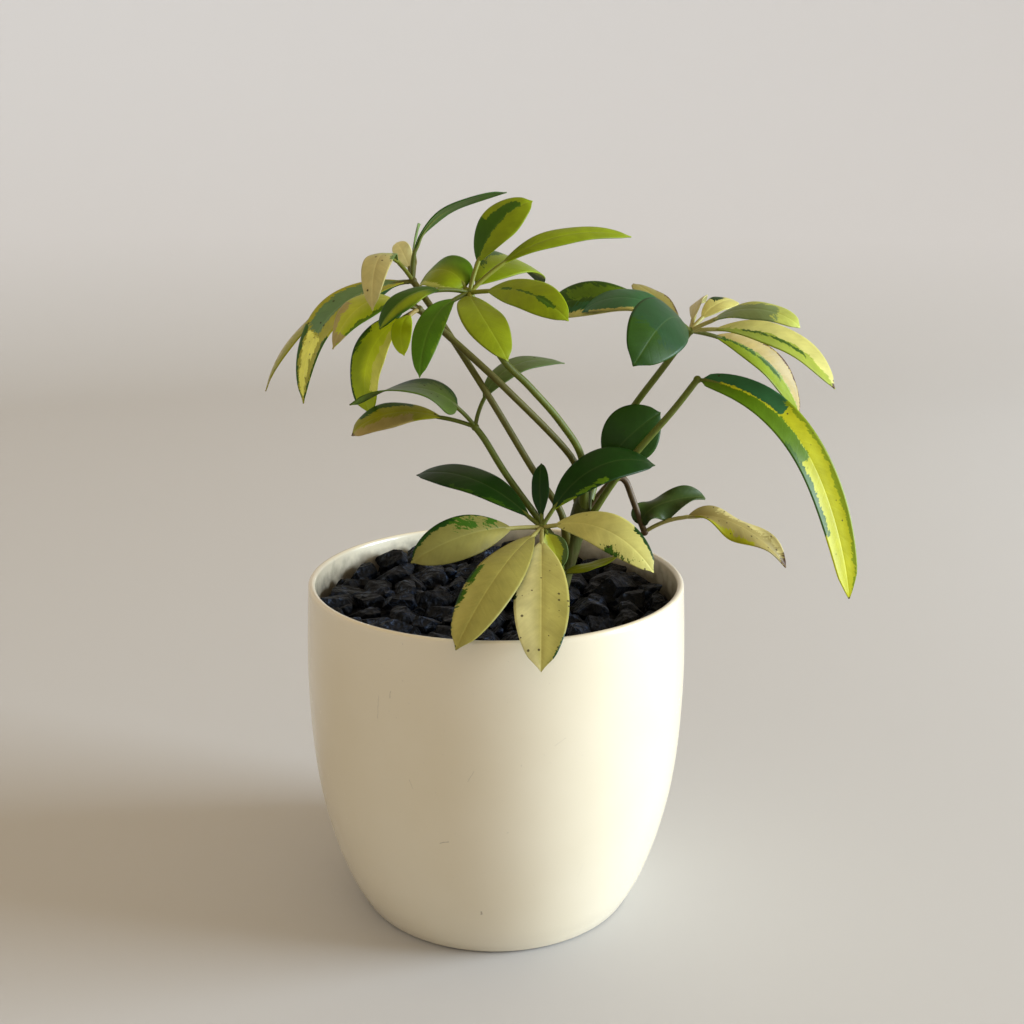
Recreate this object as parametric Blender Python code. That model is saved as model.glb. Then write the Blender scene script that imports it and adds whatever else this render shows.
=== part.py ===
"""A variegated dwarf umbrella plant growing in a cream glazed pot, topped with black stone chips.

Metres, +Z up. The origin is the middle of the pot's flat underside and the plant's
front, the side with the low fan of cream leaflets, faces -Y.
"""

import math
import random

import bmesh
import bpy
from mathutils import Vector

MM = 0.001

# Pot, in millimetres: the outer and inner walls as (radius, height), foot to rim
POT_HEIGHT = 134.0
POT_FLOOR = 7.0
POT_OUTSIDE = [
    (55.6, 0.0), (57.2, 0.7), (59.6, 5.5), (63.4, 14.5), (68.2, 29.5), (72.6, 49.5),
    (75.0, 72.0), (75.8, 97.0), (75.2, 118.0), (74.5, 131.6),
]
POT_INSIDE = [
    (56.0, 7.0), (60.0, 14.5), (64.8, 29.5), (69.0, 49.5), (71.3, 72.0), (71.7, 97.0), (71.7, 129.0),
]
RIM_OUTER = 74.5
RIM_INNER = 71.7
RIM_ROUNDING = 1.3
POT_SEGMENTS = 48

# Fill, in millimetres
GAP = 0.3
SOIL_TOP = 110.0
BED_TOP = 120.5
FILL_STEPS = 4

# Chips, in millimetres: the rings that they lie in, and how far each one strays
CHIP_SIZE = (12.0, 19.0)
CHIP_RINGS = (2.0, 14.0, 27.0, 40.0, 53.0, 65.5)
CHIP_SPACING = 12.8
CHIP_STRAY = 2.5
CHIP_TURN_STRAY = 0.2
CHIP_RISE = (0.02, 0.2)
CHIP_WALL_SHARE = 0.45
CHIP_POINTS = 8
CHIP_STRETCH = ((0.85, 1.25), (0.6, 0.85), (0.45, 0.65))
CHIP_ROUGHNESS = 0.15
CHIP_SEED = 7
TALL_CHIP = (-49.5, 47.0, 127.0)
TALL_CHIP_SIZE = 15.0
GOLDEN_ANGLE = 2.4

# Trunk: its middle line and radius, in millimetres
TRUNK_LINE = [(22, 9, 62), (23, 10, 100), (25, 10, 123), (30, 10, 143), (34, 10, 158), (36, 10, 167)]
TRUNK_RADII = [2.6, 4.0, 4.2, 4.0, 3.9, 2.4]
TRUNK_SIDES = 10

# Leaf construction, in millimetres
PETIOLE_SIDES = 6
PETIOLE_RADIUS = 1.4
PETIOLE_TAPER = 0.25
PETIOLE_FLARE = 2.1
FLARE_SHARE = 0.2
HUB_RADIUS = 2.5
LEAF_EDGE = 0.7
LEAF_MIDDLE = 1.0
STALK_RADIUS = 0.75
LEAF_TIP = 0.5
BLADE_WAVES = 1.5
BLADE_STATIONS = (0.0, 0.12, 0.27, 0.42, 0.57, 0.72, 0.87, 1.0)
MIDRIB_STEPS = 20

GREEN = (0.05, 0.16, 0.035, 1)
LIME = (0.28, 0.42, 0.04, 1)
CREAM_LEAF = (0.62, 0.60, 0.25, 1)


def leaflet(
    tip, arch=0.0, peak=0.5, bow=0.0, sag=0.0, width=18.0, roll=0.0, twist=0.0,
    fold=16.0, stalk=9.0, widest=0.55, slender=1.7, wave=0.0,
):
    """One leaflet of a compound leaf. Lengths are in millimetres and turns in degrees.

    tip is where its tip stands from the hub, arch how far its midrib rises over the straight
    line to the tip, peak how far along it does so, and bow how far it swings to its right.
    sag lifts the midrib's first half and lets the second one hang, like a lazy S. roll turns the
    blade about its midrib, twist adds to that towards the tip, fold lifts both halves from the
    midrib, and stalk is the length of the bare stalk before the blade. widest is the share of
    the blade's length where it is broadest, slender how soon it narrows from there, with less
    for a blunter blade, and wave how far its edges ripple.
    """
    return dict(
        tip=tip, arch=arch, peak=peak, bow=bow, sag=sag, width=width, roll=roll, twist=twist,
        fold=fold, stalk=stalk, widest=widest, slender=slender, wave=wave,
    )


# Each compound leaf: its petiole's middle line from the trunk to the hub, and its leaflets
LEAVES = {
    "leaf_front_low": dict(
        color=CREAM_LEAF,
        petiole=[(26, 8, 134), (24, 1, 140), (20, -8, 150), (17.5, -15, 158)],
        leaflets=[
            leaflet((-1.5, -71, -30), arch=6, width=20, stalk=12, widest=0.6),
            leaflet((-30, -67, -24), arch=6, bow=-2, width=18.5, roll=10, stalk=9, widest=0.6),
            leaflet((-48, -27, -6), arch=4, width=17.5, roll=50, stalk=13),
            leaflet((-50, 29, 13.5), arch=5.5, width=17, roll=20, stalk=6),
            leaflet((0, 14, 22), arch=1, width=8, roll=30, stalk=4),
            leaflet((45, 20, 20), arch=9.5, width=17.5, roll=-32, stalk=7),
            leaflet((41, -20, -11.5), arch=7.5, width=16, roll=-42, stalk=5),
            leaflet((6, -9, -14), arch=3, width=10, roll=-20, stalk=3),
        ],
    ),
    "leaf_top": dict(
        color=LIME,
        petiole=[
            (35, 8.5, 160), (33.5, 4.5, 181), (24.5, 0, 196.5),
            (12.5, -6, 211), (1.5, -12, 223.5), (-9.5, -20, 247),
        ],
        leaflets=[
            leaflet((22.5, 10, 32), arch=4.5, bow=-1.5, width=15.5, roll=-40, stalk=11),
            leaflet((60, 25, 19), arch=8, peak=0.42, width=10, roll=-30, stalk=17),
            leaflet((34.5, -28, -7), arch=4, width=15, roll=-36, stalk=8),
            leaflet((14, -38, -19.5), arch=3, bow=4, width=16.5, stalk=4, widest=0.56),
            leaflet((-16, -32, -26), arch=6, bow=2.5, width=10, roll=30, stalk=8),
            leaflet((-30.5, -20, -11), arch=6, width=10.5, roll=20, stalk=12),
            leaflet((-19, 13, 0.5), arch=5, width=19, roll=33, stalk=2.5, widest=0.38, slender=1.2),
            leaflet((27, 46, -1), arch=7.5, width=21, roll=-20, stalk=5, widest=0.48),
        ],
    ),
    "leaf_upper_left": dict(
        color=CREAM_LEAF,
        petiole=[
            (29, 9, 142), (25.5, 5, 159), (14, 6, 176.5),
            (-2.5, 4, 204.5), (-21, 10, 232.5), (-32.5, 12, 249),
        ],
        leaflets=[
            leaflet((36, 13, 33), arch=10.5, peak=0.3, sag=0.3, width=8, roll=30, stalk=12),
            leaflet((-0.5, 48, 20), arch=2, width=7, roll=80, stalk=9),
            leaflet((-15, 10, -8), arch=1, width=13, stalk=3, widest=0.45),
            leaflet((-11, -42, -7.5), arch=13, peak=0.4, bow=3.5, width=11, stalk=12),
            leaflet((-42, -12, -46), arch=13, width=20, roll=22, stalk=3, widest=0.5),
            leaflet((-60.5, 8, -44.5), arch=9.5, width=13, roll=20, stalk=10),
            leaflet((-7.5, 14, 13.5), arch=2, width=7.5, roll=35, stalk=5),
        ],
    ),
    "leaf_mid_left": dict(
        color=LIME,
        petiole=[
            (33.5, 10.5, 158), (31.5, 12.5, 168), (29.5, 13, 180),
            (3, 4, 209), (-20.5, 4, 230.5), (-29.5, 2, 239),
        ],
        leaflets=[
            leaflet((-30, -22, -12.5), arch=8, width=17, roll=16, stalk=8, widest=0.42),
            leaflet(
                (-21, 12, -42), arch=9.5, width=19, roll=75, stalk=9, widest=0.6, slender=1.1,
            ),
            leaflet((-4.5, -16, -15.5), arch=4, bow=2, width=8.5, stalk=6),
            leaflet((-14, 32, -10), arch=6, width=13, roll=10, stalk=9),
        ],
    ),
    "leaf_lower_left": dict(
        color=GREEN,
        petiole=[
            (27.5, 9, 136), (25.5, 8, 143.5), (17.5, 7, 154.5),
            (4, 6, 173.5), (-4.5, 6, 187.5), (-8.5, 6, 193),
        ],
        leaflets=[
            leaflet(
                (-45.5, -26, 13), arch=9.5, peak=0.42, width=21, roll=75, twist=-115, fold=4, stalk=12,
                widest=0.4, slender=1.2,
            ),
            leaflet((-48, -4, -3), arch=6, width=17, roll=25, stalk=13, widest=0.62),
            leaflet((36, 30, 21), arch=11, peak=0.3, width=13, roll=-12, stalk=13),
        ],
    ),
    "leaf_upper_right": dict(
        color=CREAM_LEAF,
        petiole=[
            (37, 12, 162.5), (40, 16, 169), (46.5, 22, 184.5),
            (56, 25, 199), (66, 20, 214.5), (75.5, 14, 230),
        ],
        leaflets=[
            leaflet((-27, -50, -7), arch=8.5, width=24, roll=46, stalk=6, widest=0.6),
            leaflet((-42, 10, 6), arch=6, width=19, roll=22, stalk=8),
            leaflet((-55, 25, 5), arch=7, width=18, roll=15, twist=45, stalk=10, widest=0.65),
            leaflet((-19.5, 35, 15.5), arch=-0.5, width=13, stalk=8),
            leaflet((13, 48, 7), arch=4, width=8, roll=40, stalk=8),
            leaflet((38, -20, 3.5), arch=5.5, width=15, roll=-20, stalk=10, slender=1.3),
            leaflet((55.5, -10, -21), arch=8.5, width=19, roll=-24, stalk=9),
            leaflet((48.5, 15, -36.5), arch=8, width=16.5, roll=-52, stalk=10),
            leaflet((22, 22, 9), arch=3, width=10, roll=-20, stalk=8),
        ],
    ),
    "leaf_long_right": dict(
        color=LIME,
        petiole=[
            (34, 8, 150), (38.5, 6.5, 158), (46, 7.5, 170),
            (55.5, 8, 183), (69, 9, 199), (78.5, 10, 211.5),
        ],
        leaflets=[
            leaflet(
                (57.5, -30, -80), arch=19, peak=0.37, sag=1, width=15.5, roll=-38, fold=15, stalk=2,
                widest=0.5, slender=0.7,
            ),
        ],
    ),
    "leaf_behind": dict(
        color=GREEN,
        petiole=[(36, 10, 164), (38.5, 10.5, 169.5), (41.5, 12, 174.5)],
        leaflets=[
            leaflet((24, 6, 22.5), arch=2, width=23, roll=-72, fold=8, stalk=4, widest=0.5),
        ],
    ),
    "leaf_low_right": dict(
        color=GREEN,
        petiole=[
            (34, 12, 152), (41.5, 17, 162.5), (48.5, 20, 169), (52.5, 21, 168),
            (55.5, 21, 161), (59, 20, 151.5), (61, 20, 146.5),
        ],
        leaflets=[
            leaflet(
                (26, 10, 12), arch=6.5, peak=0, width=12.5, roll=-30, stalk=5, widest=0.48,
                slender=0.85, wave=3.5,
            ),
            leaflet((57, -10, -12), arch=12, peak=0.35, width=14.5, roll=-26, stalk=21, wave=2.5),
        ],
    ),
    "leaf_basal": dict(
        color=LIME,
        petiole=[(26, 9, 130), (25.5, 4, 132.5), (26.5, 2, 134)],
        leaflets=[
            leaflet((24, 3, 8), arch=-3, width=8, roll=-10, fold=35, stalk=1, widest=0.35),
        ],
    ),
}


def clear_scene():
    for thing in list(bpy.data.objects):
        bpy.data.objects.remove(thing, do_unlink=True)


def material(name, color, roughness, metallic=0.0):
    made = bpy.data.materials.new(name)
    made.use_nodes = True
    shader = made.node_tree.nodes["Principled BSDF"]
    shader.inputs["Base Color"].default_value = color
    shader.inputs["Roughness"].default_value = roughness
    shader.inputs["Metallic"].default_value = metallic
    made.diffuse_color = color
    return made


def add_object(name, bm, finish=None, smooth_angle=None):
    """Turns a bmesh into a named object with its material."""
    bmesh.ops.recalc_face_normals(bm, faces=bm.faces)
    mesh = bpy.data.meshes.new(name)
    bm.to_mesh(mesh)
    bm.free()
    if smooth_angle:
        mesh.shade_smooth()
        mesh.set_sharp_from_angle(angle=math.radians(smooth_angle))
    made = bpy.data.objects.new(name, mesh)
    bpy.context.scene.collection.objects.link(made)
    if finish:
        mesh.materials.append(finish)
    return made


def apply_boolean(target, operation, cutters, solver="EXACT"):
    """Applies one Boolean with all the cutters, then removes them."""
    group = bpy.data.collections.new("boolean_operands")
    bpy.context.scene.collection.children.link(group)
    for cutter in cutters:
        for holder in list(cutter.users_collection):
            holder.objects.unlink(cutter)
        group.objects.link(cutter)
    modifier = target.modifiers.new("join", "BOOLEAN")
    modifier.operation = operation
    modifier.operand_type = "COLLECTION"
    modifier.collection = group
    modifier.solver = solver
    bpy.context.view_layer.update()
    graph = bpy.context.evaluated_depsgraph_get()
    result = bpy.data.meshes.new_from_object(target.evaluated_get(graph))
    finishes = list(target.data.materials)
    target.modifiers.clear()
    target.data = result
    result.materials.clear()
    for finish in finishes:
        result.materials.append(finish)
    for cutter in cutters:
        bpy.data.objects.remove(cutter, do_unlink=True)
    bpy.data.collections.remove(group)


def lathe(bm, profile, segments):
    """Spins (radius, height) points in millimetres into a closed skin that ends on the axis."""
    rings = []
    for radius, height in profile:
        if radius == 0:
            rings.append([bm.verts.new((0, 0, height * MM))])
            continue
        ring = []
        for k in range(segments):
            angle = 2 * math.pi * k / segments
            spot = Vector((radius * math.cos(angle), radius * math.sin(angle), height))
            ring.append(bm.verts.new(spot * MM))
        rings.append(ring)
    for lower, upper in zip(rings, rings[1:]):
        for k in range(segments):
            after = (k + 1) % segments
            if len(lower) == 1:
                bm.faces.new((lower[0], upper[k], upper[after]))
            elif len(upper) == 1:
                bm.faces.new((lower[k], lower[after], upper[0]))
            else:
                bm.faces.new((lower[k], lower[after], upper[after], upper[k]))


def inner_radius(height):
    """The pot's inner radius at a height, where the fill sits."""
    for (r0, z0), (r1, z1) in zip(POT_INSIDE, POT_INSIDE[1:]):
        if height <= z1:
            return r0 + (r1 - r0) * (height - z0) / (z1 - z0)
    return RIM_INNER


def fill_profile(bottom, top, steps):
    """Outline of a fill that keeps a small gap to the pot's inner wall."""
    heights = [bottom + (top - bottom) * k / steps for k in range(steps + 1)]
    side = [(inner_radius(height) - GAP, height) for height in heights]
    return [(0, bottom)] + side + [(0, top)]


def rim_rounding(middle, turns):
    """Points round the rim's edge, whose rounding is centred at a radius."""
    low = POT_HEIGHT - RIM_ROUNDING
    points = []
    for turn in turns:
        angle = math.radians(turn)
        points.append((middle + RIM_ROUNDING * math.cos(angle), low + RIM_ROUNDING * math.sin(angle)))
    return points


def make_pot(glaze):
    outer = rim_rounding(RIM_OUTER - RIM_ROUNDING, (30, 60, 90))
    inner = rim_rounding(RIM_INNER + RIM_ROUNDING, (90, 135, 180))
    bm = bmesh.new()
    lathe(
        bm, [(0, 0)] + POT_OUTSIDE + outer + inner + POT_INSIDE[::-1] + [(0, POT_FLOOR)],
        POT_SEGMENTS,
    )
    return add_object("pot", bm, glaze, smooth_angle=40)


def tube(bm, points, radii, sides):
    """A capped tube in metres along points, with a radius at each."""
    side = None
    rings = []
    for k, point in enumerate(points):
        ahead = points[min(k + 1, len(points) - 1)] - points[max(k - 1, 0)]
        along = ahead.normalized()
        if side is None:
            side = along.cross(Vector((0.0, 1.0, 0.0))).normalized()
        side = (side - along * side.dot(along)).normalized()
        up = side.cross(along)
        ring = []
        for j in range(sides):
            angle = 2 * math.pi * j / sides
            ring.append(bm.verts.new(point + (side * math.cos(angle) + up * math.sin(angle)) * radii[k]))
        rings.append(ring)
    for first, second in zip(rings, rings[1:]):
        for j in range(sides):
            after = (j + 1) % sides
            bm.faces.new((first[j], first[after], second[after], second[j]))
    bm.faces.new(rings[0])
    bm.faces.new(rings[-1])


def smooth_line(points, steps):
    """A Catmull-Rom curve in metres through points in millimetres."""
    path = [Vector(point) * MM for point in points]
    path = [path[0] * 2 - path[1]] + path + [path[-1] * 2 - path[-2]]
    line = []
    for a, b, c, d in zip(path, path[1:], path[2:], path[3:]):
        for k in range(steps):
            t = k / steps
            slope = (c - a) * t
            square = (2 * a - 5 * b + 4 * c - d) * t ** 2
            cube = (3 * b - a - 3 * c + d) * t ** 3
            line.append((2 * b + slope + square + cube) / 2)
    line.append(path[-2])
    return line


def trunk_tube(name, extra, finish=None):
    """The trunk, or with extra millimetres a fatter copy that cuts its neighbours."""
    line = smooth_line(TRUNK_LINE, 2)
    radii = []
    for k in range(len(line)):
        place = k / 2
        low = min(int(place), len(TRUNK_RADII) - 2)
        share = place - low
        radii.append((TRUNK_RADII[low] * (1 - share) + TRUNK_RADII[low + 1] * share + extra) * MM)
    first = (line[0] - line[1]).normalized() * extra * MM
    last = (line[-1] - line[-2]).normalized() * extra * MM
    line = [line[0] + first] + line[1:-1] + [line[-1] + last]
    bm = bmesh.new()
    tube(bm, line, radii, TRUNK_SIDES)
    return add_object(name, bm, finish, smooth_angle=50)


def blade_share(s, widest, slender):
    """Half width of a leaflet blade along its length, 1 at its widest and pointed at both ends."""
    rise = widest * slender
    fall = (1 - widest) * slender
    top = widest ** rise * (1 - widest) ** fall
    return s ** rise * (1 - s) ** fall / top


def midrib(spec, t):
    """Point on a leaflet's midrib, in millimetres from the hub."""
    tip = Vector(spec["tip"])
    chord = tip.normalized()
    flat = Vector((tip.x, tip.y, 0.0)).normalized()
    right = flat.cross(Vector((0.0, 0.0, 1.0)))
    up = right.cross(chord)
    control = tip * spec["peak"] + (up * spec["arch"] + right * spec["bow"]) * 2
    sway = up * spec["sag"] * math.sin(2 * math.pi * t)
    return control * (2 * t * (1 - t)) + tip * t * t + sway


def blade_frame(spec, t):
    """Along, right and up at a place on the midrib, with the leaflet's roll in them."""
    step = 0.01
    along = (midrib(spec, min(t + step, 1.0)) - midrib(spec, max(t - step, 0.0))).normalized()
    flat = Vector((spec["tip"][0], spec["tip"][1], 0.0)).normalized()
    right = flat.cross(Vector((0.0, 0.0, 1.0)))
    right = (right - along * right.dot(along)).normalized()
    up = right.cross(along)
    turn = math.radians(spec["roll"] + spec["twist"] * t)
    turned = right * math.cos(turn) + up * math.sin(turn)
    return along, turned, turned.cross(along)


def blade_places(spec):
    """Sections of a leaflet, hub to tip: place on the midrib, half width, and thicknesses."""
    spots = [midrib(spec, k / MIDRIB_STEPS) for k in range(MIDRIB_STEPS + 1)]
    length = sum((after - before).length for before, after in zip(spots, spots[1:]))
    begin = spec["stalk"] / length
    places = [(0.0, STALK_RADIUS, 2 * STALK_RADIUS, STALK_RADIUS, 0.0)]
    for s in BLADE_STATIONS:
        t = begin + (1 - begin) * s
        if s == 0.0:
            places.append((t, STALK_RADIUS, 2 * STALK_RADIUS, STALK_RADIUS, 0.0))
            continue
        half = max(spec["width"] / 2 * blade_share(s, spec["widest"], spec["slender"]), LEAF_TIP)
        sway = spec["wave"] * math.sin(2 * math.pi * BLADE_WAVES * s)
        places.append((t, half, LEAF_MIDDLE, LEAF_EDGE, sway))
    return places


def leaflet_ring(spec, place):
    """Six points round a leaflet: left edge, midrib and right edge above, then back below."""
    t, half, middle, edge, sway = place
    _, right, up = blade_frame(spec, t)
    centre = midrib(spec, t)
    fold = math.radians(spec["fold"] if half > STALK_RADIUS else 0.0)
    above, below = [], []
    for across in (-1, 0, 1):
        out = across * half
        lift = abs(out) * math.sin(fold) + sway * abs(across)
        at = centre + right * out * math.cos(fold) + up * lift
        thick = edge if across else middle
        above.append(at + up * thick / 2)
        below.append(at - up * thick / 2)
    return [point * MM for point in above + below[::-1]]


def add_leaflet(spec, hub):
    """A closed leaflet: a thin stalk that widens into a pointed, folded blade."""
    bm = bmesh.new()
    rings = []
    for place in blade_places(spec):
        rings.append([bm.verts.new(hub + point) for point in leaflet_ring(spec, place)])
    for first, second in zip(rings, rings[1:]):
        for j in range(6):
            after = (j + 1) % 6
            if j < 3:
                bm.faces.new((first[j], first[after], second[after]))
                bm.faces.new((first[j], second[after], second[j]))
            else:
                bm.faces.new((first[j], first[after], second[j]))
                bm.faces.new((first[after], second[after], second[j]))
    for ring in (rings[0], rings[-1]):
        for j in range(2):
            bm.faces.new((ring[j], ring[j + 1], ring[4 - j], ring[5 - j]))
    return add_object("leaflet", bm)


def make_leaf(name, spec, finish):
    """A compound leaf as one body: petiole, hub and its ring of leaflets."""
    line = smooth_line(spec["petiole"], 3)
    count = len(line) - 1
    radii = []
    for k in range(count + 1):
        share = k / count
        flare = (PETIOLE_FLARE - PETIOLE_RADIUS) * max(0.0, 1 - share / FLARE_SHARE)
        radii.append((PETIOLE_RADIUS + flare - PETIOLE_TAPER * share) * MM)
    bm = bmesh.new()
    tube(bm, line, radii, PETIOLE_SIDES)
    leaf = add_object(name, bm, finish)
    hub = line[-1]
    knob = bmesh.new()
    bmesh.ops.create_icosphere(knob, subdivisions=1, radius=HUB_RADIUS * MM)
    bmesh.ops.translate(knob, verts=knob.verts, vec=hub)
    joined = [add_object("hub", knob)]
    for one in spec["leaflets"]:
        joined.append(add_leaflet(one, hub))
    apply_boolean(leaf, "UNION", joined)
    apply_boolean(leaf, "DIFFERENCE", [trunk_tube("trunk_cutter", GAP)])
    return leaf


def make_stone(centre, size, draw):
    """One angular stone: the hull of points scattered over a squashed ball."""
    points = []
    turn = draw.uniform(0, 2 * math.pi)
    stretch = [draw.uniform(*span) for span in CHIP_STRETCH]
    for k in range(CHIP_POINTS):
        height = 1 - 2 * (k + 0.5) / CHIP_POINTS
        angle = GOLDEN_ANGLE * k + draw.uniform(-0.5, 0.5)
        flat = math.sqrt(1 - height * height)
        x = math.cos(angle) * flat * stretch[0]
        y = math.sin(angle) * flat * stretch[1]
        tilt = draw.uniform(-CHIP_ROUGHNESS, CHIP_ROUGHNESS)
        points.append(Vector((
            x * math.cos(turn) - y * math.sin(turn),
            x * math.sin(turn) + y * math.cos(turn),
            height * stretch[2] + tilt,
        )) * size / 2)
    bm = bmesh.new()
    verts = [bm.verts.new((centre + point) * MM) for point in points]
    bmesh.ops.convex_hull(bm, input=verts)
    bmesh.ops.delete(bm, geom=[vert for vert in bm.verts if not vert.link_faces], context="VERTS")
    return add_object("stone", bm)


def keep_largest(made):
    """Removes crumbs that a cut left loose beside the main body."""
    bm = bmesh.new()
    bm.from_mesh(made.data)
    unseen = set(bm.verts)
    bodies = []
    while unseen:
        edge = [unseen.pop()]
        body = list(edge)
        while edge:
            vert = edge.pop()
            near = {link.other_vert(vert) for link in vert.link_edges} & unseen
            unseen -= near
            edge.extend(near)
            body.extend(near)
        bodies.append(body)
    bodies.sort(key=len)
    for crumb in bodies[:-1]:
        bmesh.ops.delete(bm, geom=crumb, context="VERTS")
    bm.to_mesh(made.data)
    bm.free()


def make_chips(finish):
    """The top dressing: a bed of black chips, packed to the pot's wall and clear of the trunk."""
    draw = random.Random(CHIP_SEED)
    bed = bmesh.new()
    lathe(bed, fill_profile(SOIL_TOP + GAP, BED_TOP, 1), POT_SEGMENTS)
    chips = add_object("black_chips", bed, finish)
    stones = []
    for ring in CHIP_RINGS:
        count = max(1, int(2 * math.pi * ring / CHIP_SPACING))
        start = draw.uniform(0, 2 * math.pi)
        for k in range(count):
            size = draw.uniform(*CHIP_SIZE)
            reach = min(ring + draw.uniform(-CHIP_STRAY, CHIP_STRAY), RIM_INNER - CHIP_WALL_SHARE * size)
            angle = start + 2 * math.pi * (k + draw.uniform(-CHIP_TURN_STRAY, CHIP_TURN_STRAY)) / count
            high = BED_TOP + draw.uniform(*CHIP_RISE) * size
            place = Vector((reach * math.cos(angle), reach * math.sin(angle), high))
            stones.append(make_stone(place, size, draw))
    stones.append(make_stone(Vector(TALL_CHIP), TALL_CHIP_SIZE, draw))
    apply_boolean(chips, "UNION", stones, "MANIFOLD")
    room = bmesh.new()
    lathe(room, fill_profile(SOIL_TOP + GAP, POT_HEIGHT, 2), POT_SEGMENTS)
    apply_boolean(chips, "INTERSECT", [add_object("room", room)], "MANIFOLD")
    apply_boolean(chips, "DIFFERENCE", [trunk_tube("trunk_cutter", GAP)], "MANIFOLD")
    keep_largest(chips)
    return chips


def make_soil(finish):
    bm = bmesh.new()
    lathe(bm, fill_profile(POT_FLOOR + GAP, SOIL_TOP, FILL_STEPS), POT_SEGMENTS)
    soil = add_object("potting_soil", bm, finish)
    apply_boolean(soil, "DIFFERENCE", [trunk_tube("trunk_cutter", GAP)])
    return soil


clear_scene()
make_pot(material("cream_glaze", (0.83, 0.79, 0.66, 1), 0.25))
make_soil(material("damp_soil", (0.05, 0.03, 0.02, 1), 0.95))
make_chips(material("black_stone", (0.015, 0.017, 0.022, 1), 0.6))
trunk_tube("trunk", 0.0, material("green_bark", (0.10, 0.16, 0.04, 1), 0.55))
for leaf_name, leaf_spec in LEAVES.items():
    make_leaf(leaf_name, leaf_spec, material(leaf_name + "_skin", leaf_spec["color"], 0.4))
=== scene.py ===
# Dresses the variegated umbrella plant: fine leaves, stalks, stone chips and a glazed pot.
import math
import random

import bpy
from mathutils import Matrix, Vector


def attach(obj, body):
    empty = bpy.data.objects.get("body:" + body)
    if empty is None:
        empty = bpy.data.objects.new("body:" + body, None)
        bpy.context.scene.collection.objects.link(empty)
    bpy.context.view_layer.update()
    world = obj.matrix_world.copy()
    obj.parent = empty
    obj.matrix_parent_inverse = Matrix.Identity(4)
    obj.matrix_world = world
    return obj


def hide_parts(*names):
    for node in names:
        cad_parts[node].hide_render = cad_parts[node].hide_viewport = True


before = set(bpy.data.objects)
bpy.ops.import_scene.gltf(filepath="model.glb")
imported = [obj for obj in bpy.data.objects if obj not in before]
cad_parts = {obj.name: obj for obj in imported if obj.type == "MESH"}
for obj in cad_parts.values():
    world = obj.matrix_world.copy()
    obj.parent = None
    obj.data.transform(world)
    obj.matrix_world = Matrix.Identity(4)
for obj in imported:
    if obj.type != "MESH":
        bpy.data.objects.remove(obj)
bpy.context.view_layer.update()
bpy.ops.object.select_all(action="DESELECT")
mm = 0.001


# Camera, at the photograph's place: its spot in metres, its turns in degrees
camera = {"spot": (0.0061, -0.458, 0.282), "lens": 42.2, "sensor": 36.0, "pitch": 14.9, "roll": 0.26}


def addCamera():
    bpy.ops.object.camera_add(location=camera["spot"])
    cam = bpy.context.object
    cam.data.lens = camera["lens"]
    cam.data.sensor_width = camera["sensor"]
    tilt = Matrix.Rotation(math.radians(90 - camera["pitch"]), 4, "X")
    cam.rotation_euler = (tilt @ Matrix.Rotation(math.radians(camera["roll"]), 4, "Z")).to_euler()
    bpy.context.scene.camera = cam
    cam.select_set(False)


addCamera()
print("camera placed")


# Shader sums: a Line is a socket that adds, takes away and multiplies like a number
class Line:
    def __init__(self, shade, socket):
        self.shade = shade
        self.socket = socket

    def __add__(self, other):
        return self.shade.sum("ADD", self, other)

    def __sub__(self, other):
        return self.shade.sum("SUBTRACT", self, other)

    def __mul__(self, other):
        return self.shade.sum("MULTIPLY", self, other)

    def __radd__(self, other):
        return self.shade.sum("ADD", other, self)

    def __rsub__(self, other):
        return self.shade.sum("SUBTRACT", other, self)

    def __rmul__(self, other):
        return self.shade.sum("MULTIPLY", other, self)

    def size(self):
        return self.shade.sum("ABSOLUTE", self)

    def clamp(self):
        return self.shade.node("ShaderNodeClamp", {}, {0: self})

    def least(self, other):
        return self.shade.sum("MINIMUM", self, other)


class Shade:
    def __init__(self, name, **finish):
        self.material = bpy.data.materials.new(name)
        self.material.use_nodes = True
        self.tree = self.material.node_tree
        self.surface = self.tree.nodes["Principled BSDF"]
        for socket, value in finish.items():
            self.surface.inputs[socket.replace("_", " ")].default_value = value

    def node(self, kind, settings, sockets, out=0):
        made = self.tree.nodes.new(kind)
        for name, value in settings.items():
            setattr(made, name, value)
        for name, value in sockets.items():
            if isinstance(value, Line):
                self.tree.links.new(value.socket, made.inputs[name])
            else:
                made.inputs[name].default_value = value
        return Line(self, made.outputs[out])

    def sum(self, operation, a, b=0.0):
        return self.node("ShaderNodeMath", {"operation": operation}, {0: a, 1: b})

    def attribute(self, name, out="Color"):
        return self.node("ShaderNodeAttribute", {"attribute_name": name}, {}, out)

    def place(self):
        return self.node("ShaderNodeTexCoord", {}, {}, "Object")

    def split(self, vector):
        return [self.node("ShaderNodeSeparateXYZ", {}, {0: vector}, axis) for axis in "XYZ"]

    def join(self, x, y, z=0.0):
        return self.node("ShaderNodeCombineXYZ", {}, {0: x, 1: y, 2: z})

    def noise(self, vector, scale, detail=3.0):
        return self.node("ShaderNodeTexNoise", {}, {"Vector": vector, "Scale": scale, "Detail": detail})

    def mix(self, factor, a, b):
        a = (*a, 1) if isinstance(a, tuple) else a
        b = (*b, 1) if isinstance(b, tuple) else b
        return self.node("ShaderNodeMix", {"data_type": "RGBA"}, {0: factor, 6: a, 7: b}, 2)

    def bump(self, height, distance, strength=1.0):
        sockets = {"Height": height, "Distance": distance, "Strength": strength}
        self.feed("Normal", self.node("ShaderNodeBump", {}, sockets))

    def feed(self, socket, line):
        self.tree.links.new(line.socket, self.surface.inputs[socket])


def finishPiece(piece, node):
    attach(piece, "root")
    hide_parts(node)
    piece.select_set(False)
    return piece


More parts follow.
